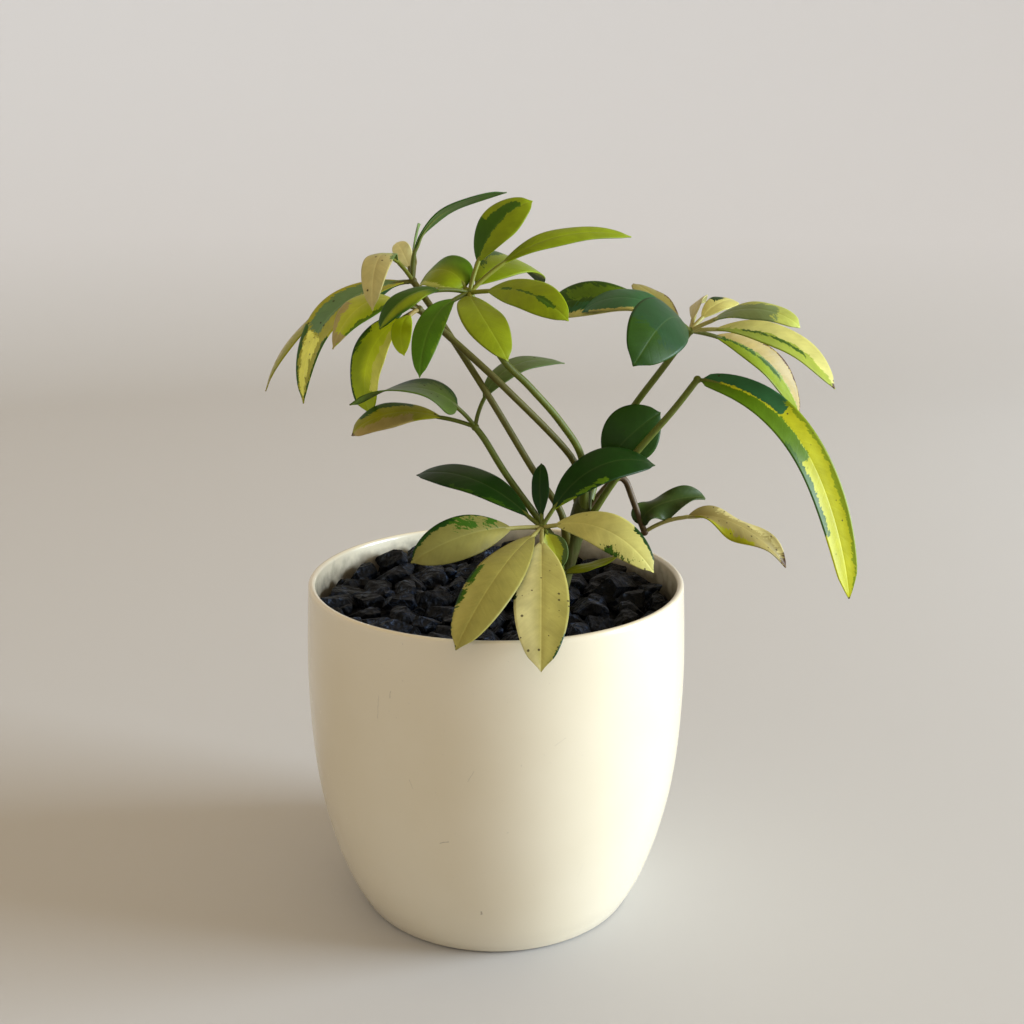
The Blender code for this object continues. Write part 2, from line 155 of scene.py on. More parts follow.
def selectOnly(*things):
    bpy.ops.object.select_all(action="DESELECT")
    for thing in things:
        thing.select_set(True)
    bpy.context.view_layer.objects.active = things[0]


def smoothLine(points, steps):  # a rounded curve through points in millimetres, in metres
    path = [Vector(point) * mm for point in points]
    path = [path[0] * 2 - path[1]] + path + [path[-1] * 2 - path[-2]]
    line = []
    for a, b, c, d in zip(path, path[1:], path[2:], path[3:]):
        for k in range(steps):
            t = k / steps
            slope = (c - a) * t
            square = (2 * a - 5 * b + 4 * c - d) * t ** 2
            cube = (3 * b - a - 3 * c + d) * t ** 3
            line.append((2 * b + slope + square + cube) / 2)
    line.append(path[-2])
    return line


# Pot: outline points are (radius, height) in millimetres, foot to rim; the limits of the inner wall's grime
# and painted shade are in metres
pot = {
    "sides": 128, "smoothing": 5, "height": 134.0, "crease": 50,
    "foot": [(54.6, 0.0), (55.9, 0.25), (56.9, 1.0)],
    "outside": [
        (57.2, 1.6), (59.6, 6.0), (63.4, 14.5), (68.2, 29.5), (72.6, 49.5),
        (75.0, 72.0), (75.8, 97.0), (75.2, 118.0), (74.5, 131.6),
    ],
    "inside": [
        (71.7, 129.0), (71.7, 97.0), (71.3, 72.0), (69.0, 49.5), (64.8, 29.5), (60.0, 14.5), (56.0, 7.0),
    ],
    "rim": {"outer": 74.5, "inner": 71.7, "rounding": 1.3},
    "glaze": (0.76, 0.69, 0.54), "shade": (0.69, 0.61, 0.44),
    "wear": (0.22, 0.17, 0.11), "speck": 0.735, "scratchShare": 0.65, "tide": 0.4,
    # the inner wall's darkening: partly grime, partly painted shade, with its limits on the next line
    "grimeAndShade": (0.16, 0.14, 0.11), "grimeAndShadeShare": 0.85,
    "grimeAndShadeTop": 0.1315, "grimeAndShadeFoot": 0.08, "grimeAndShadeReach": 0.0727,
    # scratches as (turn in degrees, height, length, width, slant in degrees)
    "scratches": [
        (-123, 105, 9, 0.35, 4), (-119, 111, 3, 0.4, 10), (-96, 84, 5, 0.3, 30), (-113, 78, 4, 0.3, -20),
        (-104, 56, 4, 0.5, 70), (-94, 24, 2, 0.9, 0), (-72, 96, 5, 0.25, 60), (-63, 40, 6, 0.25, 15),
        (60, 70, 9, 0.3, 12), (140, 52, 7, 0.3, -8),
    ],
}


def rimPoints():
    rim = pot["rim"]
    low = pot["height"] - rim["rounding"]
    outer = rim["outer"] - rim["rounding"]
    inner = rim["inner"] + rim["rounding"]
    points = []
    for middle, turns in ((outer, (22, 45, 67, 90)), (inner, (90, 120, 150, 180))):
        for turn in turns:
            angle = math.radians(turn)
            out = rim["rounding"] * math.cos(angle)
            points.append((middle + out, low + rim["rounding"] * math.sin(angle)))
    return points


def smoothOutline(points):  # a rounded outline through (radius, height) points
    line = smoothLine([(radius, 0, height) for radius, height in points], pot["smoothing"])
    return [(spot.x / mm, spot.z / mm) for spot in line]


def glazeMaterial():
    shade = Shade("creamGlaze", Roughness=0.22, Coat_Weight=0.4, Coat_Roughness=0.05)
    place = shade.place()
    x, y, z = shade.split(place)
    cloud = shade.noise(place, 14.0, 4.0)
    fine = shade.noise(place, 420.0, 2.0)
    glaze = shade.mix((cloud * 1.4 - 0.35).clamp(), pot["shade"], pot["glaze"])
    wear = (shade.noise(place, 900.0, 1.0) - pot["speck"]).clamp() * 3.0
    for turn, height, length, width, slant in pot["scratches"]:
        angle, lean = math.radians(turn), math.radians(slant)
        out = x * math.cos(angle) + y * math.sin(angle)
        side = y * math.cos(angle) - x * math.sin(angle)
        rise = z - height * mm
        across = side * math.cos(lean) - rise * math.sin(lean)
        along = side * math.sin(lean) + rise * math.cos(lean)
        ragged = (shade.noise(place, 700.0, 2.0) - 0.5) * 0.8 * mm
        inside = (width * mm / 2 - (across + ragged).size()).least(length * mm / 2 - along.size())
        wear = wear + (inside * 5000.0).clamp() * (out * 1000.0 - 40.0).clamp() * pot["scratchShare"]
    tide = (0.7 * mm - (z - pot["tide"] * mm).size()) * 2000.0  # a thin grey line where the foot stands
    wear = wear + tide.clamp() * 0.35
    reach = shade.sum("SQRT", x * x + y * y)
    # The inner wall grows darker towards the chips: partly grime, partly painted shade
    depth = (pot["grimeAndShadeTop"] - z) * 110.0 + (shade.noise(place, 160.0, 4.0) - 0.5) * 1.6
    inner = ((pot["grimeAndShadeReach"] - reach) * 4000.0).clamp()
    grimeAndShade = inner * depth.clamp() * ((z - pot["grimeAndShadeFoot"]) * 500.0).clamp()
    glaze = shade.mix(grimeAndShade * pot["grimeAndShadeShare"], glaze, pot["grimeAndShade"])
    shade.feed("Base Color", shade.mix(wear.clamp(), glaze, pot["wear"]))
    shade.feed("Roughness", 0.2 + cloud * 0.1 + wear.clamp() * 0.3)
    shade.bump(cloud * 0.6 + fine * 0.012, 0.6 * mm, 0.35)
    return shade.material


def addPot():
    outline = pot["foot"] + smoothOutline(pot["outside"]) + rimPoints() + smoothOutline(pot["inside"])
    first = outline[0]
    bpy.ops.mesh.primitive_circle_add(vertices=pot["sides"], radius=first[0] * mm, fill_type="NGON")
    shell = bpy.context.object
    shell.name = "glazedPot"
    bpy.ops.object.mode_set(mode="EDIT")
    bpy.ops.mesh.select_all(action="SELECT")
    for (before, low), (after, high) in zip(outline, outline[1:]):
        rise = (0, 0, (high - low) * mm)
        bpy.ops.mesh.extrude_region_move(TRANSFORM_OT_translate={"value": rise})
        share = after / before
        bpy.ops.transform.resize(
            value=(share, share, 1), center_override=(0, 0, 0), constraint_axis=(True, True, False),
        )
    bpy.ops.mesh.select_all(action="SELECT")
    bpy.ops.mesh.normals_make_consistent(inside=False)
    bpy.ops.object.mode_set(mode="OBJECT")
    bpy.ops.object.shade_smooth_by_angle(angle=math.radians(pot["crease"]))
    shell.data.materials.append(glazeMaterial())
    return finishPiece(shell, "pot")


addPot()
print("pot glazed")


# Soil, under the chips
soil = {"dark": (0.012, 0.008, 0.005), "light": (0.06, 0.038, 0.022)}


def dressSoil():
    shade = Shade("dampSoil", Roughness=0.95)
    place = shade.place()
    crumb = shade.noise(place, 260.0, 5.0)
    shade.feed("Base Color", shade.mix((crumb * 2.0 - 0.5).clamp(), soil["dark"], soil["light"]))
    shade.bump(crumb, 1.5 * mm, 0.8)
    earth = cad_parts["potting_soil"]
    earth.data.materials.clear()
    earth.data.materials.append(shade.material)


dressSoil()
print("soil dressed")


# Stone chips, laid in rings like the solids that they stand for, in millimetres. A master stone is
# about 1 across, and each chip is one of them, scaled and turned.
chips = {
    "seed": 7, "bedTop": 120.5, "wall": 71.7, "wallGap": 0.2, "bedSides": 96, "bedGap": 0.4,
    "bedFoot": -9, "bedHeight": 8.5, "rings": (2.0, 14.0, 27.0, 40.0, 53.0, 65.5), "spacing": 12.8,
    "size": (12.0, 19.0), "grow": 1.12, "stray": 2.5, "turnStray": 0.2, "rise": (0.02, 0.2),
    "tilt": 0.35, "wallShare": 0.45, "stretch": ((0.85, 1.25), (0.6, 0.85), (0.45, 0.65)), "points": 8,
    "tall": (-49.5, 47.0, 127.0), "tallSize": 15.0,
    "masters": 7, "radius": 0.56, "cuts": 11, "cutDepth": (0.27, 0.46), "cutStray": 0.4, "spiral": 2.4,
    "bevel": 0.022, "bevelAngle": 22, "crease": 24,
    "small": 120, "smallSize": (5.0, 9.0), "smallRise": (0, 3), "smallTilt": 0.6, "smallShare": 0.6,
    "smallStretch": (1.1, 0.8, 0.65), "wholeTurn": 6.28,
    # black and slate are the stone's own tones; the bluish last one is a painted glint, a painted highlight
    "black": (0.0012, 0.0014, 0.002), "slate": (0.004, 0.0066, 0.013), "paintedGlint": (0.065, 0.10, 0.18),
}


def chipMaterial():
    shade = Shade("blackStone", Specular_IOR_Level=0.13)
    place = shade.place()
    x, y, z = shade.split(place)
    cloud = shade.noise(place, 130.0, 4.0)
    grain = shade.noise(place, 1100.0, 3.0)
    streak = shade.noise(shade.join(x + cloud * 0.02, y * 0.3, z * 0.6), 900.0, 3.0)
    chunk = shade.node("ShaderNodeTexVoronoi", {}, {"Vector": place, "Scale": 330.0})
    base = shade.mix((cloud * 2.4 - 0.8).clamp(), chips["black"], chips["slate"])
    # Bluish painted glints on some facets, a painted highlight in the base colour
    glint = ((streak - 0.55) * 9.0).clamp() * ((cloud - 0.45) * 7.0).clamp()
    shade.feed("Base Color", shade.mix(glint * 0.55, base, chips["paintedGlint"]))
    shade.feed("Roughness", (0.7 - cloud * 0.5 + grain * 0.2).clamp())
    shade.bump(grain * 0.3 + streak * 0.8 + cloud + chunk * 1.6, 1.1 * mm, 0.9)
    return shade.material


def chipMaster(draw):
    bpy.ops.mesh.primitive_ico_sphere_add(subdivisions=2, radius=chips["radius"])
    stone = bpy.context.object
    bpy.ops.object.mode_set(mode="EDIT")
    for k in range(chips["cuts"]):
        height = 1 - 2 * (k + 0.5) / chips["cuts"]
        turn = chips["spiral"] * k + draw.uniform(-chips["cutStray"], chips["cutStray"])
        flat = math.sqrt(1 - height * height)
        normal = Vector((flat * math.cos(turn), flat * math.sin(turn), height))
        bpy.ops.mesh.select_all(action="SELECT")
        spot = normal * draw.uniform(*chips["cutDepth"])
        bpy.ops.mesh.bisect(plane_co=spot, plane_no=normal, use_fill=True, clear_outer=True)
    bpy.ops.object.mode_set(mode="OBJECT")
    edges = stone.modifiers.new("edges", "BEVEL")
    edges.width = chips["bevel"]
    edges.segments = 1
    edges.limit_method = "ANGLE"
    edges.angle_limit = math.radians(chips["bevelAngle"])
    bpy.ops.object.modifier_apply(modifier="edges")
    bpy.ops.object.shade_smooth_by_angle(angle=math.radians(chips["crease"]))
    stone.select_set(False)
    return stone


def layChip(master, centre, size, turn, tilt, stretch):
    stone = master.copy()
    stone.data = master.data.copy()
    bpy.context.scene.collection.objects.link(stone)
    lean = Matrix.Rotation(turn, 4, "Z") @ Matrix.Rotation(tilt[0], 4, "X") @ Matrix.Rotation(tilt[1], 4, "Y")
    shape = Matrix.Diagonal((*(share * size * mm for share in stretch), 1))
    stone.data.transform(Matrix.Translation(centre * mm) @ lean @ shape)
    reach = max(math.hypot(corner.co.x, corner.co.y) for corner in stone.data.vertices)
    over = reach - (chips["wall"] - chips["wallGap"]) * mm
    if over > 0:  # moves in from the pot's wall
        stone.data.transform(Matrix.Translation(Vector((-centre.x, -centre.y, 0)).normalized() * over))
    return stone


def addChips():
    draw = random.Random(chips["seed"])  # the solids' draws, in their order
    own = random.Random(chips["seed"] + 1)
    masters = [chipMaster(own) for k in range(chips["masters"])]
    stones = []

    def lay(centre, size):
        turn = draw.uniform(0, 2 * math.pi)
        stretch = [draw.uniform(*span) for span in chips["stretch"]]
        for k in range(2 * chips["points"]):  # the solids' own draws for their corners
            draw.random()
        tilt = [own.uniform(-chips["tilt"], chips["tilt"]) for axis in "XY"]
        stones.append(layChip(own.choice(masters), centre, size * chips["grow"], turn, tilt, stretch))

    for ring in chips["rings"]:
        count = max(1, int(2 * math.pi * ring / chips["spacing"]))
        start = draw.uniform(0, 2 * math.pi)
        for k in range(count):
            size = draw.uniform(*chips["size"])
            reach = ring + draw.uniform(-chips["stray"], chips["stray"])
            reach = min(reach, chips["wall"] - chips["wallShare"] * size)
            angle = start + 2 * math.pi * (k + draw.uniform(-chips["turnStray"], chips["turnStray"])) / count
            high = chips["bedTop"] + draw.uniform(*chips["rise"]) * size
            lay(Vector((reach * math.cos(angle), reach * math.sin(angle), high)), size)
    lay(Vector(chips["tall"]), chips["tallSize"])
    for k in range(chips["small"]):  # small ones fill the gaps between
        size = own.uniform(*chips["smallSize"])
        reach = (chips["wall"] - chips["smallShare"] * size) * math.sqrt((k + 0.5) / chips["small"])
        angle = chips["spiral"] * k
        high = chips["bedTop"] + own.uniform(*chips["smallRise"])
        centre = Vector((reach * math.cos(angle), reach * math.sin(angle), high))
        tilt = [own.uniform(-chips["smallTilt"], chips["smallTilt"]) for axis in "XY"]
        master = own.choice(masters)
        turn = own.uniform(0, chips["wholeTurn"])
        stones.append(layChip(master, centre, size, turn, tilt, chips["smallStretch"]))
    bpy.ops.mesh.primitive_circle_add(
        vertices=chips["bedSides"], radius=(chips["wall"] - chips["bedGap"]) * mm, fill_type="NGON",
        location=(0, 0, (chips["bedTop"] + chips["bedFoot"]) * mm),
    )
    bed = bpy.context.object
    bpy.ops.object.mode_set(mode="EDIT")
    bpy.ops.mesh.select_all(action="SELECT")
    bpy.ops.mesh.extrude_region_move(TRANSFORM_OT_translate={"value": (0, 0, chips["bedHeight"] * mm)})
    bpy.ops.object.mode_set(mode="OBJECT")
    bpy.ops.object.transform_apply(location=True)
    for master in masters:
        bpy.data.objects.remove(master)
    selectOnly(bed, *stones)
    bpy.ops.object.join()
    bed.name = "stoneChips"
    bed.data.materials.clear()
    bed.data.materials.append(chipMaterial())
    return finishPiece(bed, "black_chips")


addChips()
print("chips laid")


# A tube for a stalk, a rib or the trunk: a bevelled curve with a radius at each point
def addTube(name, points, radii, sides):
    data = bpy.data.curves.new(name, "CURVE")
    data.dimensions = "3D"
    data.bevel_depth = 1.0
    data.bevel_resolution = sides // 4
    data.use_fill_caps = True
    spline = data.splines.new("POLY")
    spline.points.add(len(points) - 1)
    for knot, point, radius in zip(spline.points, points, radii):
        knot.co = (*point, 1)
        knot.radius = radius * mm
    tube = bpy.data.objects.new(name, data)
    bpy.context.scene.collection.objects.link(tube)
    selectOnly(tube)
    bpy.ops.object.convert(target="MESH")
    tube = bpy.context.object
    bpy.ops.object.shade_smooth()
    return tube


# Trunk, in millimetres, but the top of its pale foot in metres
trunk = {
    "line": [(22, 9, 62), (23, 10, 100), (25, 10, 123), (30, 10, 143), (34, 10, 158), (36, 10, 167)],
    "radii": [2.6, 4.0, 4.2, 4.0, 3.9, 2.4], "steps": 12, "sides": 24,
    "ringEvery": 9.0, "ring": 0.35, "ringSharp": 12,
    "bark": (0.06, 0.058, 0.012), "young": (0.055, 0.072, 0.008), "scar": (0.13, 0.10, 0.04),
    "foot": (0.20, 0.20, 0.06), "footTop": 0.136,
}


def barkMaterial():
    shade = Shade("greenBark", Specular_IOR_Level=0.2)
    place = shade.place()
    x, y, z = shade.split(place)
    streak = shade.noise(shade.join(x, y, z * 0.22), 700.0, 4.0)
    cloud = shade.noise(place, 120.0, 3.0)
    base = shade.mix((cloud * 2.2 - 0.6).clamp(), trunk["bark"], trunk["young"])
    base = shade.mix(((trunk["footTop"] - z) * 90.0 + cloud - 0.5).clamp(), base, trunk["foot"])
    shade.feed("Base Color", shade.mix((streak * 3.2 - 1.75).clamp() * 0.6, base, trunk["scar"]))
    shade.feed("Roughness", 0.45 + streak * 0.25)
    shade.bump(streak + cloud * 0.5, 0.35 * mm, 0.7)
    return shade.material


def addTrunk():
    line = smoothLine(trunk["line"], trunk["steps"])
    radii = []
    run = 0.0
    for k, point in enumerate(line):
        place = k / trunk["steps"]
        low = min(int(place), len(trunk["radii"]) - 2)
        share = place - low
        run += (point - line[k - 1]).length / mm if k else 0.0
        peak = max(0.0, math.cos(2 * math.pi * run / trunk["ringEvery"]))
        ring = peak ** trunk["ringSharp"] * trunk["ring"]
        radii.append(trunk["radii"][low] * (1 - share) + trunk["radii"][low + 1] * share + ring)
    stem = addTube("mainTrunk", line, radii, trunk["sides"])
    stem.data.materials.append(barkMaterial())
    return finishPiece(stem, "trunk")


addTrunk()
print("trunk grown")


# Leaf colours, as light that they give back
tones = {
    # creamDim, creamShade and creamDusk are cream made darker, partly the leaflets' own tone and partly
    # painted shade
    "cream": (0.49, 0.455, 0.13), "creamDim": (0.37, 0.33, 0.085), "creamShade": (0.25, 0.22, 0.047),
    "creamDusk": (0.165, 0.15, 0.034), "creamPale": (0.63, 0.60, 0.27),
    "beige": (0.45, 0.38, 0.14), "beigePale": (0.42, 0.37, 0.14),
    "straw": (0.33, 0.27, 0.09), "strawDim": (0.27, 0.215, 0.065), "tan": (0.35, 0.26, 0.075),
    "lime": (0.18, 0.235, 0.002), "limeDim": (0.155, 0.19, 0.002),
    "limeSoft": (0.26, 0.31, 0.03), "limeBright": (0.33, 0.42, 0.004),
    # The glowing lime and the pale yellow below are brightened as painted backlight, light shining through
    # the leaf
    "limePaintedBacklight": (0.68, 0.78, 0.02), "yellow": (0.41, 0.41, 0.008), "yellowPaintedBacklight": (0.74, 0.74, 0.12),
    "paleLime": (0.38, 0.42, 0.08), "olive": (0.27, 0.26, 0.004), "gold": (0.34, 0.33, 0.02),
    "goldPale": (0.40, 0.44, 0.03), "sage": (0.24, 0.34, 0.10), "greyPale": (0.15, 0.21, 0.07),
    "green": (0.025, 0.075, 0.001), "middle": (0.034, 0.09, 0.001), "vivid": (0.05, 0.125, 0.001),
    "fresh": (0.078, 0.155, 0.002), "deep": (0.006, 0.034, 0.001), "forest": (0.015, 0.05, 0.001),
    "slate": (0.034, 0.06, 0.01), "moss": (0.065, 0.105, 0.009), "greyGreen": (0.10, 0.16, 0.04),
    "teal": (0.012, 0.048, 0.012), "blueGreen": (0.024, 0.105, 0.033), "tealPale": (0.11, 0.20, 0.07),
    "brown": (0.07, 0.032, 0.01), "under": (0.10, 0.14, 0.03), "stalkGreen": (0.095, 0.125, 0.006),
    "stalkOlive": (0.10, 0.095, 0.01), "stalkPale": (0.36, 0.33, 0.09), "stalkBrown": (0.085, 0.05, 0.018),
    "stalkLime": (0.17, 0.19, 0.006),
}


# One leaflet, in millimetres and degrees: tip from the hub, arch of its midrib and the rest of its form.
# A patch is (tone, from, to across, from, to along): across runs from -1 to 1, right positive seen
# from the hub, along from 0 at the blade's foot to 1 at its tip, and a last number makes it ragged.
# A wash is a soft one: (tone, across at none, across at full, along at none, along at full). With
# -2, -1.5 for its across it spans the whole width.
# Every leaflet gives its own arch, width and stalk.
def leaflet(tip, ground, patches=(), **form):
    made = {
        "tip": Vector(tip), "ground": ground, "patches": patches, "washes": (), "freckles": 0.0,
        "stalkTone": None, "peak": 0.5, "bow": 0.0, "sag": 0.0, "roll": 0.0, "twist": 0.0, "fold": 16.0,
        "widest": 0.55, "slender": 1.7, "point": 0.07, "wave": 0.0, "dish": 0.0,
    }
    made.update(form)
    return made


blade = {
    "across": 20, "along": 46, "thickness": 0.45, "foot": 0.6, "tip": 0.12, "curve": 2.2, "nudge": 0.01,
    "bulge": 0.07, "groove": 0.09, "grooveWide": 0.7, "quilt": 0.02, "veinEvery": 5.5, "veinSlant": 0.9,
    "ripple": 0.35, "ripples": 1.75, "phase": 1.7, "sidePhase": 1.9, "far": -9.0, "layers": "ABCD",
    "stalkRadius": 0.85, "ribRadius": 0.2, "ribSteps": 30, "ribEnd": 0.97, "ribLeast": 0.08,
}

